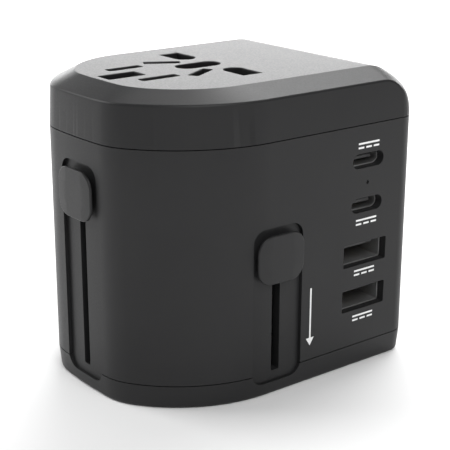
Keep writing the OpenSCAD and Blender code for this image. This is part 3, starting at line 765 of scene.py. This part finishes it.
def round_cap_edges(obj, columns):
    """Softens the bevel's lower edge and takes the sharpness off its upper edge."""
    def key(point):
        return tuple(round(v, 3) for v in point)
    bm = bmesh.new()
    bm.from_mesh(obj.data)
    for level, width, segments in ((1, BEVEL_FOOT_R, 5), (-1, BEVEL_TOP_R, 2)):
        marks = {key(col[level]) for col in columns[2:-2]}
        edges = [e for e in bm.edges
                 if all(key(p.co) in marks for p in e.verts)
                 and e.calc_face_angle(0.0) > math.radians(LEAST_FOLD)]
        bmesh.ops.bevel(bm, geom=edges, offset=width, segments=segments, profile=0.5,
                        affect="EDGES", clamp_overlap=True)
    bm.to_mesh(obj.data)
    bm.free()


def socket_cutters():
    """Prisms for the socket holes, up through the socket face."""
    under, over = SOCKET_CUT

    def hole(points, x, y, turn=0.0):
        return prism(points, upright(x, y + SOCKET_Y, turn), TOP_Z - under, TOP_Z + over)
    parts = []
    half_w = UK_HOLE_W / 2
    depth = UK_HOLE_OUT_Y - UK_HOLE_IN_Y
    keyhole = [(half_w, depth), (-half_w, depth)] + arc(0, 0, half_w, 180, 360, 24)
    turned = rounded_rect(AU_SLOT_L, FLAT_SLOT_W, HOLE_CORNER_R, 3)
    for s, us_length in US_SLOT_L.items():
        flat = rounded_rect(us_length, FLAT_SLOT_W, HOLE_CORNER_R, 3)
        parts.append(hole([(u, s * v) for u, v in keyhole], UK_HOLE_X, s * UK_HOLE_IN_Y))
        parts.append(hole(flat, US_SLOT_X, s * US_SLOT_Y))
        parts.append(hole(turned, AU_SLOT_X, s * AU_SLOT_Y, -s * BLADE_TURN))
    parts.append(hole(rounded_rect(*EARTH_HOLE, HOLE_CORNER_R, 3), UK_HOLE_X - UK_EARTH_PITCH, 0))
    parts.append(hole(rounded_rect(*CENTRE_HOLE, CENTRE_HOLE_R, 12), CENTRE_HOLE_X, 0))
    return join(parts, "socket_cutters")


def ease_hole_rims(obj):
    """Rounds the rims of the socket holes, the only steep edges in the top plane."""
    bm = bmesh.new()
    bm.from_mesh(obj.data)
    rims = [e for e in bm.edges
            if all(abs(v.co.z - TOP_Z) < 1e-3 for v in e.verts)
            and e.calc_face_angle(0.0) > math.radians(STEEP)]
    bmesh.ops.bevel(bm, geom=rims, offset=HOLE_RIM_R, segments=RIM_STEPS, profile=0.5,
                    affect="EDGES")
    bm.to_mesh(obj.data)
    bm.free()


def top_cap():
    cap = cap_skin()
    cavity = slab(CAP_FOOT_Z - CAVITY_START, TOP_Z - ROOF_T, inset=CAVITY_INSET,
                  rear_x=REAR_X - ROLL_R + CAVITY_REAR)
    combine(cap, cavity)
    combine(cap, slab(CAP_FOOT_Z - MOUTH, CAP_FOOT_Z + MOUTH, inset=CAVITY_INSET))
    lip = wall_ring(CAP_SEAM_Z - CAP_LIP_DROP, CAP_FOOT_Z + CAP_LIP_ROOT,
                    WALL + FIT, WALL + FIT + LIP_T)
    combine(cap, lip, "UNION")
    posts = [prism(circle(CARRIER_POST_R), upright(x, y), CAP_LOW.z, TOP_Z - POST_SINK)
             for x, y in CARRIER_POSTS]
    combine(cap, join(posts, "posts"), "UNION")
    combine(cap, socket_cutters())
    ease_hole_rims(cap)
    soften(cap, CAP_EDGE, angle=CAP_EDGE_ANGLE)
    return finish_piece(cap, "socket_cap", CASE, ("top_cap",))


# ---- sleeve and base ----

def port_rows():
    """Port middles from the frame: (kind, x, z)."""
    rows = []
    for kind in ("a", "c"):
        for place in ("lower", "upper"):
            low, high = box_mm(f"{place}_usb_{kind}_shell")
            rows.append((kind, (low.x + high.x) / 2, (low.z + high.z) / 2))
    return rows


PORTS = port_rows()


def side_holes():
    """Cutters for the ports and the status light."""
    ends = (-WALL - CUT_PAST, HOLE_OUT)
    holes = []
    for kind, x, z in PORTS:
        holes.append(prism(rounded_rect(*PORT_HOLES[kind], 10), port_face(x, z), *ends))
    low, high = box_mm("status_lens")
    lens_face = port_face((low.x + high.x) / 2, (low.z + high.z) / 2)
    holes.append(prism(circle(LENS_HOLE_R, 20), lens_face, *ends))
    return join(holes, "holes")


def case_screw_places():
    low, high = box_mm("case_screws")
    rear_x, rear_y = high.x - SCREW_SEAT_R, high.y - SCREW_SEAT_R
    front_x, front_y = low.x + SCREW_SEAT_R, FRONT_SCREW_Y
    return [(rear_x, rear_y), (rear_x, -rear_y), (front_x, front_y), (front_x, -front_y)]


def body_shell():
    shell = wall_ring(BASE_SEAM_Z, CAP_SEAM_Z, 0.0, WALL)
    foot, head = (BASE_SEAM_Z + z for z in SCREW_BOSS_Z)
    posts = [prism(circle(SCREW_BOSS_R), upright(*p), foot, head) for p in case_screw_places()]
    keep = slab(BASE_SEAM_Z, CAP_SEAM_Z, inset=BOSS_INSET)
    combine(shell, combine(join(posts, "posts"), keep, "INTERSECT"), "UNION")
    for wall in WALLS:
        combine(shell, panel_prism(wall, 0.0, WALL + CUT_PAST))
    combine(shell, side_holes())
    soften(shell)
    return finish_piece(shell, "case_sleeve", CASE, ("body_shell",))


def base_outside():
    """The base cap's outer shape: a tapered wall over a rounded lower edge."""
    top = BASE_SEAM_Z - SEAM_GAP
    side = BASE_TAPER * (1 - BASE_EDGE / top)
    rings = [ring(top, inset=0.0), ring(BASE_EDGE, inset=side)]
    for i in range(1, BASE_EDGE_STEPS + 1):
        a = math.radians(90 * i / BASE_EDGE_STEPS)
        rings.append(ring(BASE_EDGE * (1 - math.sin(a)),
                          inset=side + BASE_EDGE * (1 - math.cos(a))))
    return loft("base", rings)


def base_cap():
    base = base_outside()
    combine(base, slab(FLOOR_T, BASE_SEAM_Z + CUT_PAST, inset=WALL + BASE_WALL_MORE))
    lip = wall_ring(FLOOR_T - LIP_SINK, BASE_HIGH.z, WALL + FIT, WALL + FIT + LIP_T)
    combine(base, lip, "UNION")
    for wall in WALLS:
        combine(base, panel_prism(wall, 0.0, WALL + CUT_PAST))
        pocket = combine(panel_prism(wall, TRACK_LAP + POCKET_GAP, POCKET_DEPTH),
                         slab(FLOOR_T, ABOVE_SEAM, inset=WALL), "INTERSECT")
        combine(base, pocket)
    combine(base, join(base_holes(), "base_holes"))
    soften(base)
    return finish_piece(base, "plug_face", CASE, ("base_cap",))


def base_holes():
    """Pin and screw holes through the floor, placed from the pins themselves."""
    cuts = []

    def cut(points, x, y, top=FLOOR_T + CUT_PAST):
        cuts.append(prism(points, upright(x, y), -CUT_PAST, top))
    for node in ("uk_live_pin", "uk_neutral_pin", "uk_earth_pin"):
        (low, high), mid = box_mm(node), middle(node)
        cut(rounded_rect(high.x - low.x + PIN_WINDOW, high.y - low.y + PIN_WINDOW,
                         PIN_WINDOW_R, 4), mid.x, mid.y)
    for node in ("eu_live_pin", "eu_neutral_pin"):
        (low, high), mid = box_mm(node), middle(node)
        cut(circle((high.x - low.x) / 2 + ROUND_PIN_GAP, 40), mid.x, mid.y)
    for node, s in (("us_live_blade", 1), ("us_neutral_blade", -1)):
        mid = middle(node)
        cut(bow_tie(s), mid.x, mid.y)
    for x, y in case_screw_places():
        cut(circle(SCREW_HOLE_R), x, y, SCREW_HOLE_TOP)
    return cuts


def bow_tie(s):
    """Outline swept by a flat blade that turns about its middle."""
    spread = math.degrees(math.asin(BLADE_HALF_T / BLADE_REACH))
    notch = BLADE_HALF_T / math.sin(math.radians((180 - BLADE_TURN) / 2))
    a = math.radians(90 - BLADE_TURN / 2)
    pts = arc(0, 0, BLADE_REACH, -BLADE_TURN - spread, spread, 12)
    pts.append((notch * math.cos(a), notch * math.sin(a)))
    pts += arc(0, 0, BLADE_REACH, 180 - BLADE_TURN - spread, 180 + spread, 12)
    pts.append((-notch * math.cos(a), -notch * math.sin(a)))
    return [(u, v * s) for u, v in pts]


# ---- sliders ----

def ribs(wall, low_z, high_z):
    """The two guide ribs behind a slot."""
    for s in (-1, 1):
        mid = s * (RIB_GAP + RIB_T) / 2
        left, right = mid - RIB_T / 2, mid + RIB_T / 2
        rect = [(left, low_z), (right, low_z), (right, high_z), (left, high_z)]
        yield prism(rect, WALLS[wall], -WALL - TRACK_T - RIB_D, -WALL - RIB_ROOT)


def track(wall):
    """Recessed panel with its slot, its hidden flange and the two guide ribs."""
    place = WALLS[wall]
    node = wall + "_track"
    low = box_mm(node)[0].z
    panel = combine(wall_ring(0, ABOVE_SEAM, PANEL_DEPTH, WALL + PANEL_ROOT),
                    panel_prism(wall, -PANEL_PLAY, PANEL_BLOCK), "INTERSECT")
    flange = combine(wall_ring(low, ABOVE_SEAM, WALL + FIT, WALL + FIT + TRACK_T),
                     panel_prism(wall, TRACK_LAP, FLANGE_BLOCK), "INTERSECT")
    combine(panel, flange, "UNION")
    for rib in ribs(wall, low + RIB_LIFT, panel_top(wall)):
        combine(panel, rib, "UNION")
    slot_top = middle(wall + "_knob").z + STEM_H / 2 + SLOT_PLAY
    slot_mid = (slot_top + SLOT_LOW_Z) / 2
    pts = rounded_rect(SLOT_W, slot_top - SLOT_LOW_Z, SLOT_R, 4)
    slot = prism(pts, lambda u, v, w: place(u, v + slot_mid, w), -SLOT_CUT, HOLE_OUT)
    combine(panel, slot)
    soften(panel, TRACK_EDGE)
    return finish_piece(panel, wall + "_slot_panel", TRACK, (node,))


def knob_profile(proud):
    """Inset and height out of the wall, from the undercut back to the thumb face."""
    side_top = proud - KNOB_RIM_R
    profile = [(KNOB_UNDERCUT, proud - KNOB_T), (0.0, side_top - KNOB_EDGE_T), (0.0, side_top)]
    for i in range(1, KNOB_RIM_STEPS + 1):
        a = math.radians(90 * i / KNOB_RIM_STEPS)
        profile.append((KNOB_RIM_R * (1 - math.cos(a)), proud - KNOB_RIM_R * (1 - math.sin(a))))
    return profile + [(inset, proud) for inset in KNOB_FACE_INSETS]


def knob(wall):
    """Thumb knob: thin crowned plate with a tight rim and an undercut back, on a flat stem."""
    place = WALLS[wall]
    low, high = box_mm(wall + "_knob")
    mid_z = (low.z + high.z) / 2
    height = high.z - low.z
    if wall == "front":
        width, proud, depth = high.y - low.y, FRONT_X - low.x, high.x - FRONT_X
    else:
        width, proud = high.x - low.x, max(-SIDE_Y - low.y, high.y - SIDE_Y)
        depth = SIDE_Y - min(abs(low.y), abs(high.y))
    rings = []
    for inset, w in knob_profile(proud):
        pts = rounded_rect(width - 2 * inset, height - 2 * inset, KNOB_R - inset, 12)
        rings.append([place(u, v + mid_z, w - u * u / (2 * KNOB_FACE_R)) for u, v in pts])
    plate = loft("knob", rings)
    stem = prism(rounded_rect(STEM_W, STEM_H, STEM_R, 3),
                 lambda u, v, w: place(u, v + mid_z, w), -depth, proud - KNOB_T + STEM_ROOT)
    combine(plate, stem, "UNION")
    return finish_piece(plate, wall + "_thumb_knob", KNOB, (wall + "_knob",))


def coil_tube(start, direction, length, radius):
    """A helix of round wire as a closed mesh tube."""
    direction = direction.normalized()
    side = direction.orthogonal().normalized()
    other = direction.cross(side)
    steps = int(COIL_TURNS * COIL_STEPS)
    wire = COIL_WIRE_R
    centres = []
    for i in range(steps + 1):
        a = 2 * math.pi * COIL_TURNS * i / steps
        centres.append(start + direction * (wire + (length - 2 * wire) * i / steps)
                       + radius * (math.cos(a) * side + math.sin(a) * other))
    rings = []
    for i, c in enumerate(centres):
        ahead = centres[min(i + 1, steps)] - centres[max(i - 1, 0)]
        ahead.normalize()
        out = (c - start - direction * (c - start).dot(direction)).normalized()
        up = ahead.cross(out)
        rings.append([c + wire * (math.cos(b) * out + math.sin(b) * up)
                      for b in [2 * math.pi * j / WIRE_SIDES for j in range(WIRE_SIDES)]])
    return loft("coil", rings)


def release_spring(wall):
    """Coil spring behind a knob."""
    node = wall + "_release_spring"
    low, high = box_mm(node)
    mid = (low + high) / 2
    size = high - low
    if wall == "front":
        direction, length, start = Vector((-1, 0, 0)), size.x, Vector((high.x, mid.y, mid.z))
    elif wall == "port_side":
        direction, length, start = Vector((0, -1, 0)), size.y, Vector((mid.x, high.y, mid.z))
    else:
        direction, length, start = Vector((0, 1, 0)), size.y, Vector((mid.x, low.y, mid.z))
    coil = coil_tube(start, direction, length, size.z / 2 - COIL_WIRE_R)
    obj = finish_piece(coil, wall + "_coil_spring", MATERIALS["spring_steel"], (node,))
    tuple(direction)
    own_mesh(obj)
    return obj


# ---- ports ----

def port_shell(kind, place):
    """Rolled metal shell of a receptacle with a flared front lip."""
    node = f"{place}_usb_{kind}_shell"
    low, high = box_mm(node)
    mid = (low + high) / 2
    w, h = high.x - low.x, high.z - low.z
    t = PORT_SHELL_T
    r = USB_A_SHELL_R if kind == "a" else h / 2 - 0.02
    front, back = low.y, high.y
    outer = rounded_rect(w, h, r, 10)
    inner = rounded_rect(w - 2 * t, h - 2 * t, max(r - t, 0.12), 10)
    lip = rounded_rect(w - t, h - t, max(r - t / 2, 0.2), 10)

    def at(pts, y):
        return [Vector((mid.x + u, y, mid.z + v)) for u, v in pts]
    rings = [at(outer, back), at(outer, front + PORT_LIP_R), at(lip, front),
             at(inner, front + PORT_LIP_R), at(inner, back - t)]
    shell = loft("port", rings)
    return finish_piece(shell, f"{place}_usb_{kind}_port", MATERIALS["port_steel"], (node,))


def tongues(kind):
    """Plastic tongues of both receptacles of one kind, with their back blocks."""
    node = f"usb_{kind}_tongues"
    low, high = box_mm(node)
    sizes = TONGUES[kind]
    places = [(x, z) for k, x, z in PORTS if k == kind]
    half_w = sizes["width"] / 2
    low_t, high_t = sizes["z"]
    root_w, half_z = sizes["block_half"]
    root_w = min((high.x - low.x) / 2, root_w)
    block_y = high.y - sizes["block_l"]
    x = places[0][0]
    parts = []
    for _, z in places:
        tongue = block((x - half_w, low.y, z + low_t),
                       (x + half_w, block_y + TONGUE_ROOT, z + high_t))
        root = block((x - root_w, block_y, z - half_z), (x + root_w, high.y, z + half_z))
        parts.append(combine(tongue, root, "UNION"))
    obj = join(parts, "tongues")
    soften(obj, TONGUE_EDGE)
    finish_piece(obj, f"usb_{kind}_inner_tongues", MATERIALS["port_plastic"], (node,))
    contact_strips(kind, places, low.y, block_y, low_t)


def contact_strips(kind, places, front_y, back_y, face_z):
    """Gold contact strips under each tongue."""
    sizes = STRIPS[kind]
    half_w = sizes["width"] / 2
    front, back = STRIP_ENDS
    under, over = STRIP_Z
    x = places[0][0]
    parts = []
    for _, z in places:
        for i in range(sizes["count"]):
            mid = x + (i - (sizes["count"] - 1) / 2) * sizes["pitch"]
            parts.append(block((mid - half_w, front_y + front, z + face_z + under),
                               (mid + half_w, back_y - back, z + face_z + over)))
    strips = join(parts, "strips")
    soften(strips, STRIP_EDGE, 1)
    finish_piece(strips, f"usb_{kind}_contact_strips", GOLD, body="case", slot="contact_brass")


def status_lens():
    low, high = box_mm("status_lens")
    mid = (low + high) / 2
    flange = (high.x - low.x) / 2
    side_top = high.y - low.y - LENS_CROWN
    profile = [(flange, 0.0), (flange, LENS_FLANGE_T), (LENS_R, LENS_STEP_T), (LENS_R, side_top)]
    for i in range(1, LENS_STEPS):
        a = math.radians(90 * i / LENS_STEPS)
        profile.append((LENS_R * math.cos(a), side_top + LENS_CROWN * math.sin(a)))
    rings = [[Vector((mid.x + u, high.y - w, mid.z + v)) for u, v in circle(rad, 24)]
             for rad, w in profile]
    return finish_piece(loft("lens", rings), "charge_light_lens", MATERIALS["lens"],
                        ("status_lens",))


def port_symbols():
    """A generic direct-current symbol by each port: a bar over three dashes."""
    out, into = MARK_DEPTH
    near, far = MARK_BAR_Z
    x = PORTS[0][1]
    parts = []

    def bar(x0, z0, x1, z1):
        parts.append(block((x0, -SIDE_Y - out, z0), (x1, -SIDE_Y + into, z1)))
    for z in MARK_HEIGHTS:
        bar(x - MARK_HALF_W, z + near, x + MARK_HALF_W, z + far)
        for i in (-1, 0, 1):
            mid = x + i * DASH_PITCH
            bar(mid - DASH_HALF_W, z - far, mid + DASH_HALF_W, z - near)
    finish_piece(join(parts, "marks"), "port_symbols", MARK, body="case", slot="case_black")


def slide_arrow():
    """A plain arrow beside the slider, pointing the way it slides."""
    out, into = MARK_DEPTH
    low_z, high_z = ARROW_Z
    half = ARROW_STROKE / 2
    neck = low_z + ARROW_HEAD * ARROW_SLOPE
    pts = [(-half, high_z), (half, high_z), (half, neck), (ARROW_HEAD, neck), (0, low_z),
           (-ARROW_HEAD, neck), (-half, neck)]
    x = SIDE_SLOT_X + PANEL_HALF_W + ARROW_SHIFT
    arrow = prism(pts, port_face(x, 0), -into, out)
    finish_piece(arrow, "slide_arrow", MARK, body="case", slot="case_black")


def dress_cad_nodes():
    """Inner pieces and pins keep their CAD shape and get eased edges and real materials."""
    for name, obj in NODES.items():
        if obj.hide_render:
            continue
        obj.data.materials.clear()
        obj.data.materials.append(MATERIALS[SLOT_OF[name]])
        bevel = obj.modifiers.new("ease", "BEVEL")
        bevel.width = INNER_EDGE
        bevel.segments = 2
        bevel.limit_method = "ANGLE"
        bevel.angle_limit = math.radians(INNER_EDGE_ANGLE)
        weighted = obj.modifiers.new("even", "WEIGHTED_NORMAL")
        weighted.keep_sharp = True


# ---- stage, light and camera ----

def floor():
    row = FLOOR_STEPS + 1
    ticks = [FLOOR_HALF * (2 * i / FLOOR_STEPS - 1) for i in range(row)]
    verts = [(x, y, 0.0) for x in ticks for y in ticks]
    corners = [i * row + j for i in range(FLOOR_STEPS) for j in range(FLOOR_STEPS)]
    faces = [(a, a + row, a + row + 1, a + 1) for a in corners]
    mesh = bpy.data.meshes.new("floor")
    mesh.from_pydata(verts, [], faces)
    obj = bpy.data.objects.new("floor", mesh)
    bpy.context.scene.collection.objects.link(obj)
    mat, _, _, shader = principled("floor")
    shader.inputs["Base Color"].default_value = (0.95, 0.95, 0.95, 1)
    shader.inputs["Roughness"].default_value = 0.9
    shader.inputs["Specular IOR Level"].default_value = 0.1
    mesh.materials.append(mat)


def back_vector(azimuth, elevation):
    """Unit vector from the object to whoever sees it at that azimuth and elevation."""
    a, e = math.radians(azimuth), math.radians(elevation)
    return Vector((math.sin(a) * math.cos(e), -math.cos(a) * math.cos(e), math.sin(e)))


def area_light(name, azimuth, elevation, size, power):
    """A rectangular soft light, placed by where it is seen from the object."""
    back = back_vector(azimuth, elevation)
    data = bpy.data.lights.new(name, "AREA")
    data.shape = "RECTANGLE"
    data.size, data.size_y = size
    data.energy = power
    obj = bpy.data.objects.new(name, data)
    obj.location = Vector(LIGHT_AIM) + back * LIGHT_DISTANCE
    obj.rotation_euler = back.to_track_quat("Z", "Y").to_euler()
    bpy.context.scene.collection.objects.link(obj)


def lights():
    world = bpy.data.worlds.new("studio")
    world.use_nodes = True
    background = world.node_tree.nodes["Background"]
    background.inputs["Color"].default_value = (1, 1, 1, 1)
    background.inputs["Strength"].default_value = WORLD_STRENGTH
    bpy.context.scene.world = world
    bpy.context.scene.view_settings.view_transform = "Standard"
    for light in SOFT_LIGHTS:
        area_light(*light)


def camera():
    azimuth, roll = math.radians(CAMERA_AZIMUTH), math.radians(CAMERA_ROLL)
    back = back_vector(CAMERA_AZIMUTH, CAMERA_ELEVATION)
    right = Vector((math.cos(azimuth), math.sin(azimuth), 0))
    up = back.cross(right)
    c, s = math.cos(roll), math.sin(roll)
    right, up = c * right + s * up, c * up - s * right
    data = bpy.data.cameras.new("camera")
    data.lens = CAMERA_LENS
    data.sensor_width = CAMERA_SENSOR
    data.clip_start = CAMERA_NEAR
    obj = bpy.data.objects.new("camera", data)
    place = Vector(CAMERA_PLACE) * MM
    obj.matrix_world = Matrix((
        (right.x, up.x, back.x, place.x),
        (right.y, up.y, back.y, place.y),
        (right.z, up.z, back.z, place.z),
        (0, 0, 0, 1)))
    bpy.context.scene.collection.objects.link(obj)
    bpy.context.scene.camera = obj


camera()
floor()
lights()
top_cap()
body_shell()
base_cap()
for wall_name in WALLS:
    track(wall_name)
    knob(wall_name)
    release_spring(wall_name)
for port_kind in ("a", "c"):
    for level in ("lower", "upper"):
        port_shell(port_kind, level)
    tongues(port_kind)
status_lens()
port_symbols()
slide_arrow()
dress_cad_nodes()
